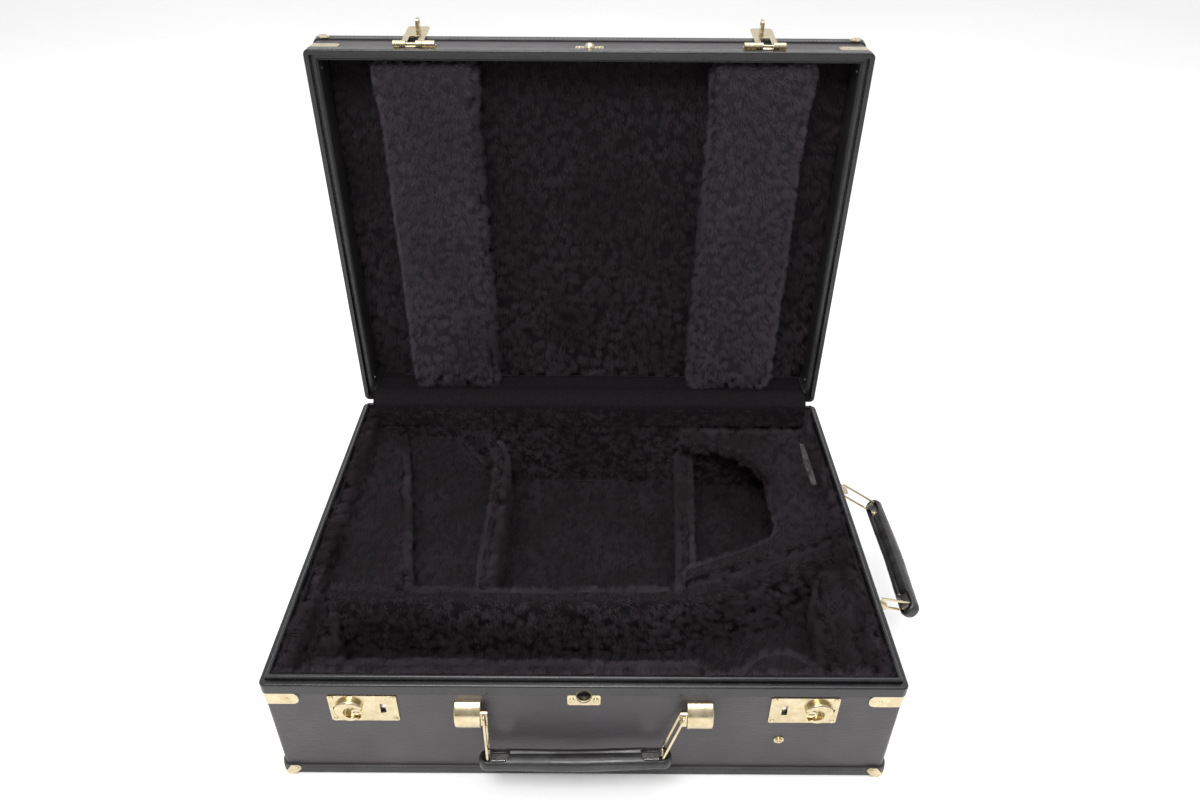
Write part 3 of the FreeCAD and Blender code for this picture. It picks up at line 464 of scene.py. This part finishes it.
def tray_padding():
    """Blocks, rolls and dividers in the tray, and the accessory lid."""
    pads, away = [], {}
    for node, _, cloth, _, rounds in TRAY_PADS:
        pad = pad_blank(node, node + "_plush", 4.5 * MM, 0.8 * MM, rounds, PAINT["plush"])
        pads.append(pad)
        if cloth:
            away[pad] = DOWN
    panel = pad_blank("accessory_lid", "accessory_lid_plush", 3.5 * MM, 1.6 * MM, 2, PAINT["plush"])
    away[panel] = DOWN
    bars = []
    for node, _ in LID_PADS:
        bar = pad_blank(node, node + "_plush", 4.5 * MM, 1.2 * MM, 5, PAD_PLUSH)
        away[bar] = INTO_LID
        bars.append(bar)
    swell_pads(away)
    for pad, (node, seed, _, swell, _) in zip(pads, TRAY_PADS):
        skin_pad(pad, swell * MM, 0.9 * MM, seed)
        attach(pad, "base")
        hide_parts(node)
        add_hair(pad, DOWN, 30000, 6.0 * MM, LEAN["tray"], seed)
    skin_pad(panel, 0.3 * MM, 0.5 * MM, 9)
    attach(panel, "accessory_lid")
    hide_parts("accessory_lid")
    add_hair(panel, DOWN, 30000, 5.0 * MM, LEAN["tray"], 9)
    for bar, (node, seed) in zip(bars, LID_PADS):
        skin_pad(bar, 1.6 * MM, 0.8 * MM, seed)
        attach(bar, "lid")
        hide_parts(node)
        add_hair(bar, INTO_LID, 30000, 5.0 * MM, LEAN["lid"], seed, GREY_PILE)


# ---- linings ---------------------------------------------------------------------------------
def wall_band(name, box, thick, material, step=4.0 * MM):
    """A closed band that lines four walls; box is (half x, half y, low z, high z) of its inner face."""
    half_x, half_y, low, high = box
    corners = [(-half_x, -half_y), (half_x, -half_y), (half_x, half_y), (-half_x, half_y)]
    path = []
    for (x0, y0), (x1, y1) in zip(corners, corners[1:] + corners[:1]):
        count = max(2, round(math.hypot(x1 - x0, y1 - y0) / step))
        path += [(x0 + (x1 - x0) * i / count, y0 + (y1 - y0) * i / count) for i in range(count)]
    steps = round((high - low) / step)
    levels = [low + (high - low) * i / steps for i in range(steps + 1)]
    grow_x, grow_y = 1 + thick / half_x, 1 + thick / half_y
    rows = []
    for x, y in path:
        inner = [Vector((x, y, z)) for z in levels]
        outer = [Vector((x * grow_x, y * grow_y, z)) for z in (high, low)]
        rows.append(inner + outer)
    return from_rows(name, rows, material, loop=True)


def sheet(name, box, thick, material, step=3.5 * MM):
    """A flat panel under pile, thickened behind its face; box is (x0, x1, y0, y1, z)."""
    x0, x1, y0, y1, face_z = box
    columns, lines = round((x1 - x0) / step), round((y1 - y0) / step)
    bm = bmesh.new()
    grid = [[bm.verts.new((x0 + (x1 - x0) * i / columns, y0 + (y1 - y0) * j / lines, face_z))
             for i in range(columns + 1)] for j in range(lines + 1)]
    for below, above in zip(grid, grid[1:]):
        for i in range(columns):
            bm.faces.new((below[i], below[i + 1], above[i + 1], above[i]))
    mesh = bpy.data.meshes.new(name)
    bm.to_mesh(mesh)
    bm.free()
    piece = new_piece(name, mesh, material)
    modify(piece, "SOLIDIFY", thickness=thick, offset=-1.0)
    settle(piece)
    return piece


def tray_linings():
    """Plush on the tray's walls and its floor."""
    low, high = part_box("base_lining")
    floor_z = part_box("left_block")[0].z
    inner_x, inner_y = -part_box("left_block")[0].x, -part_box("half_round_pad")[0].y
    walls = wall_band("tray_wall_plush", (inner_x, inner_y, floor_z, high.z - 0.8 * MM),
                      high.x - inner_x - 0.3 * MM, PAINT["plush"])
    floor = sheet("tray_floor_plush", (-inner_x, inner_x, -inner_y, inner_y, floor_z), floor_z - low.z,
                  PAINT["plush"])
    for piece, seed in ((walls, 21), (floor, 22)):
        ruffle(piece, 0.7 * MM, 0.8 * MM, seed)
        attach(piece, "base")
    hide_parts("base_lining")
    add_hair(walls, Vector((0, 0, -2)), 27000, 5.5 * MM, LEAN["tray"], 21)
    add_hair(floor, DOWN, 27000, 6.0 * MM, LEAN["tray"], 22)


def lid_linings():
    """Smooth cloth on the lid's walls and a plush panel inside its top, made shut and then opened."""
    back = OPEN.inverted()
    corners = [back @ v.co for v in NODES["lid_lining"].data.vertices]
    outer_x, outer_y = max(c.x for c in corners), max(c.y for c in corners)
    low, top = min(c.z for c in corners), max(c.z for c in corners)
    cloth_t, panel_t = 1.5 * MM, 4.0 * MM
    walls = wall_band("lid_wall_cloth", (outer_x - cloth_t, outer_y - cloth_t, low, top), cloth_t,
                      PAINT["lid_cloth"], 8.0 * MM)
    half_x, half_y = outer_x - cloth_t - 0.5 * MM, outer_y - cloth_t - 0.5 * MM
    panel = sheet("lid_panel_plush", (-half_x, half_x, -half_y, half_y, top), panel_t, PAINT["plush"])
    for v in panel.data.vertices:
        v.co.z = 2 * top - panel_t - v.co.z      # turn the face down, into the lid
    panel.data.flip_normals()
    ruffle(panel, 1.2 * MM, 0.8 * MM, 23, 0.075)
    for piece in (walls, panel):
        piece.data.transform(OPEN)
        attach(piece, "lid")
    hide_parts("lid_lining")
    add_hair(panel, INTO_LID, 27000, 6.0 * MM, LEAN["lid"], 23)


def gusset():
    """Plush flap across the hinge: it stands up inside the tray's back wall, passes over both rims and
    lies on the lid's lower wall. Offsets are from the hinge's axis, at rest."""
    line = [(-17.4, -21), (-17.3, -14), (-17.2, -7), (-17.1, 0), (-16.9, 5), (-16.3, 9.5), (-14.5, 12.6),
            (-11, 15.2), (-6, 17.3), (0, 18.3), (5, 18.3), (9, 17.6), (13, 16.3), (18, 15.7), (28, 15.7),
            (39, 15.8)]
    half_x, thick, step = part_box("hinge_gusset")[1].x + 3 * MM, 1.3 * MM, 4.0 * MM
    mid = [Vector((0, HINGE.y + y * MM, HINGE.z + z * MM)) for y, z in line]
    fine = []
    for a, b in zip(mid, mid[1:]):
        pieces = max(1, round((b - a).length / (3.0 * MM)))
        fine += [a.lerp(b, i / pieces) for i in range(pieces)]
    fine.append(mid[-1])
    side = []
    last = len(fine) - 1
    for i in range(len(fine)):
        along = (fine[min(i + 1, last)] - fine[max(i - 1, 0)]).normalized()
        side.append(Vector((0, along.z, -along.y)) * thick / 2)
    ring = [p + s for p, s in zip(fine, side)] + [p - s for p, s in reversed(list(zip(fine, side)))]
    count = round(2 * half_x / step)
    rows = [[Vector((-half_x + 2 * half_x * i / count, p.y, p.z)) for p in ring] for i in range(count + 1)]
    flap = from_rows("hinge_gusset_plush", rows, PAINT["plush"])
    ruffle(flap, 0.5 * MM, 0.45 * MM, 24)
    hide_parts("hinge_gusset")
    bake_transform(flap)


# ---- handles ---------------------------------------------------------------------------------
def eye_centres(core):
    """Centres of the two rolled eyes of a handle's core, from the ends of its solid."""
    points = [v.co for v in NODES[core].data.vertices]
    low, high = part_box(core)
    axis = 0 if high.x - low.x > high.y - low.y else 1
    eye = 6.4 * MM
    found = []
    for near in ([p for p in points if p[axis] < low[axis] + eye * 0.98],
                 [p for p in points if p[axis] > high[axis] - eye * 0.98]):
        found.append(Vector([(min(p[i] for p in near) + max(p[i] for p in near)) / 2 for i in range(3)]))
    return found


GRIP_TAIL, GRIP_NOSE = 8.3 * MM, 7.5 * MM       # past the eye's centre, and the length of the rounded end
GRIP_HALF_W, GRIP_HALF_H, GRIP_MID = 9.6 * MM, 7.2 * MM, -4.4 * MM
POCKET_FLOOR = -3.6 * MM
LAP_ANGLE = math.radians(-32)                   # lapped edge on the outer roll, round from its outer side


def in_pocket(t, v):
    """1 inside the open pocket over an eye, 0 outside; t is the way in from the eye's centre."""
    reach = (((t - 6.5 * MM) / (11.5 * MM)) ** 4 + (v / (7.8 * MM)) ** 4) ** 0.25
    return smooth_step(1.0, 0.0, (reach - 0.94) / 0.09)


def grip_surface(s, a, span):
    """Outward and upward place of the grip's surface at s along it and angle a round it."""
    t = min(s, span - s)
    k = math.sqrt(max(0.0, 1 - (1 - min((t + GRIP_TAIL) / GRIP_NOSE, 1.0)) ** 2))
    bow = math.sin(math.pi * min(max(s / span, 0.0), 1.0)) ** 2
    c, d = math.cos(a), math.sin(a)
    seam = math.exp(-((s - 0.36 * span) / (0.7 * MM)) ** 2)
    v = GRIP_HALF_W * (0.10 + 0.90 * k) * math.copysign(abs(c) ** 0.72, c) * (1 - 0.05 * seam)
    w = GRIP_MID + (GRIP_HALF_H * (0.45 + 0.55 * k) - 0.35 * MM * seam) * math.copysign(abs(d) ** 0.80, d)
    w -= (1.5 + 0.9 * (1 - d)) * MM * bow
    if d > 0:
        inside = smooth_step(0.0, 1.0, (t - 9 * MM) / (8 * MM))
        crease = math.exp(-((v + 1.5 * MM) / (1.5 * MM)) ** 2) * inside
        w -= (2.6 - 1.1 * bow) * MM * crease
        w += (POCKET_FLOOR - w) * in_pocket(t, v)
    elif c > 0:
        v -= 0.7 * MM * k * math.exp(-((a - 2 * math.pi - LAP_ANGLE) / 0.07) ** 2)
    return v, w


def grip(prefix, seed):
    """Leather grip: a narrow roll and a wide one with a crease between, looped over the core's eyes, and a
    stitched lapped edge under the wide one."""
    one, two = eye_centres(prefix + "_handle_core")
    low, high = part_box(prefix + "_handle_grip")
    along, span = (two - one).normalized(), (two - one).length
    side = Vector(JOINTS[prefix + "_grip_level"]["axis"])
    up = along.cross(side).normalized()
    if ((low + high) / 2 - (one + two) / 2).dot(up) > 0:
        up = -up
    outward = side if side.dot(low + high) > 0 else -side

    def point(s, a, lift=0.0):
        v, w = grip_surface(s, a, span)
        return one + along * s + outward * (v + lift) + up * w

    count, around = 220, 96
    rows = []
    for i in range(count + 1):
        s = -GRIP_TAIL + (span + 2 * GRIP_TAIL) * (0.5 - 0.5 * math.cos(math.pi * i / count))
        rows.append([point(s, 2 * math.pi * j / around) for j in range(around)])
    piece = from_rows(prefix + "_grip_leather", rows, PAINT["grip_leather"])
    ruffle(piece, 0.30 * MM, 0.06 * MM, seed, 0.022, 0.004)
    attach(piece, prefix + "_handle")
    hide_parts(prefix + "_handle_grip")
    start, pitch = 14 * MM, 3.6 * MM
    below_lap = 2 * math.pi + LAP_ANGLE - 0.16
    count = int((span - 2 * start) / pitch)
    spots = [(point(start + i * pitch, below_lap, 0.1 * MM), along) for i in range(count)]
    seam = stitches(prefix + "_grip_stitches", spots, 2.4 * MM, 0.32 * MM, BLACK_THREAD)
    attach(seam, prefix + "_handle")


def smooth_step(low, high, t):
    t = min(max(t, 0.0), 1.0)
    return low + (high - low) * t * t * (3 - 2 * t)


# ---- stitching -------------------------------------------------------------------------------
def stitches(name, spots, length, radius, material):
    """One small spindle of thread at each spot; spots are (centre, direction)."""
    bm = bmesh.new()
    sides = 6
    for centre, along in spots:
        across = along.orthogonal().normalized()
        third = along.cross(across)
        rings = []
        for f, r in ((-0.5, 0.25), (-0.36, 0.85), (0.0, 1.0), (0.36, 0.85), (0.5, 0.25)):
            ring = []
            for i in range(sides):
                a = 2 * math.pi * i / sides
                offset = (across * math.cos(a) + third * math.sin(a)) * radius * r
                ring.append(bm.verts.new(centre + along * length * f + offset))
            rings.append(ring)
        for one, two in zip(rings, rings[1:]):
            for i in range(sides):
                bm.faces.new((one[i], one[(i + 1) % sides], two[(i + 1) % sides], two[i]))
        bm.faces.new(list(reversed(rings[0])))
        bm.faces.new(rings[-1])
    bmesh.ops.recalc_face_normals(bm, faces=bm.faces)
    mesh = bpy.data.meshes.new(name)
    bm.to_mesh(mesh)
    bm.free()
    return new_piece(name, mesh, material)


def welt_spots(low, high, z, clear):
    """Stitch places along four sides of a binding, stopping short of the corner caps."""
    pitch = 4.2 * MM
    spots = []
    for side in (low.y, high.y):
        run = high.x - low.x - 2 * clear
        spots += [(Vector((low.x + clear + run * (i + 0.5) / int(run / pitch), side, z)), Vector((1, 0, 0)))
                  for i in range(int(run / pitch))]
    for side in (low.x, high.x):
        run = high.y - low.y - 2 * clear
        spots += [(Vector((side, low.y + clear + run * (i + 0.5) / int(run / pitch), z)), Vector((0, 1, 0)))
                  for i in range(int(run / pitch))]
    return spots


def welt_stitching():
    """Thread along both bindings: black on the tray, grey on the lid."""
    low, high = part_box("base_welt")
    clear, drop = 21 * MM, 3.0 * MM
    tray = stitches("base_welt_stitches", welt_spots(low, high, high.z - drop, clear), 3.0 * MM, 0.38 * MM,
                    BLACK_THREAD)
    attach(tray, "base")
    shut = OPEN.inverted()
    welt = [shut @ v.co for v in NODES["lid_welt"].data.vertices]
    near_z = min(p.z for p in welt)
    spots = welt_spots(low, high, near_z + drop, clear)
    lid = stitches("lid_welt_stitches", spots, 3.0 * MM, 0.38 * MM, GREY_THREAD)
    lid.data.transform(OPEN)
    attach(lid, "lid")


# ---- pull tab --------------------------------------------------------------------------------
def pull_tab():
    """Leaf-shaped suede strip, fixed at its back end and lifted a little at its tip."""
    low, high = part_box("pull_tab")
    half_w, length, thick = (high.x - low.x) * 0.36, high.y - low.y, 1.5 * MM
    centre_x, base_z = (low.x + high.x) / 2, low.z + 0.6 * MM
    count, across = 44, 8
    rows = []
    for i in range(count + 1):
        f = i / count
        wide = half_w * (0.35 + 0.65 * math.sin(math.pi * min(f * 0.9 + 0.08, 1.0)) ** 0.55)
        lift = 2.5 * MM * smooth_step(0.0, 1.0, (0.45 - f) / 0.45)
        top, under = [], []
        for j in range(across + 1):
            g = 2 * j / across - 1
            curl = 0.8 * MM * g * g
            spot = Vector((centre_x + g * wide, low.y + f * length, base_z + lift + curl))
            top.append(spot + Vector((0, 0, thick)))
            under.append(spot)
        rows.append(top + list(reversed(under)))
    tab = from_rows("pull_tab_suede", rows, PAINT["tab_leather"])
    ruffle(tab, 0.3 * MM, 0.1 * MM, 31, 0.02, 0.004)
    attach(tab, "accessory_lid")
    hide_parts("pull_tab")


# ---- studio ----------------------------------------------------------------------------------
FLOOR_HALF = 6.0
VIEW_PLACE = (0.0113, -0.6938, 0.7671)
VIEW_TURN = (55.02, -0.08, 0.35)       # degrees about X, Y and Z, multiplied in that order
LENS, SENSOR = 26.72, 36.0


def soft_light(name, place, aim, size, power):
    lamp = bpy.data.lights.new(name, "AREA")
    lamp.shape = "RECTANGLE"
    lamp.size, lamp.size_y = size
    lamp.energy = power
    holder = bpy.data.objects.new(name, lamp)
    bpy.context.scene.collection.objects.link(holder)
    holder.location = place
    holder.rotation_mode = "QUATERNION"
    holder.rotation_quaternion = (Vector(aim) - Vector(place)).to_track_quat("-Z", "Y")


def studio():
    """Pale floor, white surround and two soft boxes."""
    floor_mat = Shader("studio_floor")
    tone = floor_mat.blend(floor_mat.noise(0.8, 2.0), (0.90, 0.90, 0.90), (0.94, 0.94, 0.94))
    floor_mat.finish(tone, floor_mat.ramp(floor_mat.noise(3.0), 0.6, 0.7))
    bm = bmesh.new()
    bmesh.ops.create_grid(bm, x_segments=12, y_segments=12, size=FLOOR_HALF)
    mesh = bpy.data.meshes.new("studio_floor")
    bm.to_mesh(mesh)
    bm.free()
    floor = new_piece("studio_floor", mesh, floor_mat.mat)
    floor.location.z = cad_low.z - 0.2 * MM
    surround()
    aim = (cad_low + cad_high) / 2
    soft_light("key", (-0.35, -1.3, 2.4), aim, (1.3, 1.0), 50.0)
    soft_light("top", (0.3, 0.4, 2.6), aim, (2.0, 1.4), 30.0)


def surround():
    """White behind the case as the camera sees it; as a light, bright above and behind, dim in front."""
    world = bpy.data.worlds.new("surround")
    bpy.context.scene.world = world
    world.use_nodes = True
    tree = world.node_tree
    background = tree.nodes["Background"]
    place = tree.nodes.new("ShaderNodeTexCoord")
    height = tree.nodes.new("ShaderNodeVectorMath")
    height.operation = "DOT_PRODUCT"
    height.inputs[1].default_value = (0.0, 0.45, 0.90)
    tree.links.new(place.outputs["Generated"], height.inputs[0])
    ramp = tree.nodes.new("ShaderNodeMapRange")
    for name, value in (("From Min", -0.4), ("From Max", 0.7), ("To Min", 0.35), ("To Max", 1.0)):
        ramp.inputs[name].default_value = value
    tree.links.new(height.outputs["Value"], ramp.inputs["Value"])
    rays = tree.nodes.new("ShaderNodeLightPath")
    seen = tree.nodes.new("ShaderNodeMath")
    seen.operation = "MAXIMUM"
    tree.links.new(rays.outputs["Is Camera Ray"], seen.inputs[0])
    tree.links.new(ramp.outputs["Result"], seen.inputs[1])
    tree.links.new(seen.outputs["Value"], background.inputs["Strength"])
    background.inputs["Color"].default_value = (1.0, 1.0, 1.0, 1.0)


def camera():
    """The viewer stands in front of the case, above it, and looks down into the tray."""
    lens = bpy.data.cameras.new("view")
    lens.lens, lens.sensor_width = LENS, SENSOR
    lens.clip_start, lens.clip_end = 0.01, 50.0
    holder = bpy.data.objects.new("view", lens)
    bpy.context.scene.collection.objects.link(holder)
    about_x, about_y, about_z = (Matrix.Rotation(math.radians(angle), 4, axis)
                                 for angle, axis in zip(VIEW_TURN, "XYZ"))
    holder.matrix_world = Matrix.Translation(VIEW_PLACE) @ about_x @ about_y @ about_z
    bpy.context.scene.camera = holder


paint_nodes()
tray_padding()
tray_linings()
lid_linings()
gusset()
grip("front", 41)
grip("side", 42)
welt_stitching()
pull_tab()
studio()
camera()
bpy.context.scene.view_settings.view_transform = "Standard"
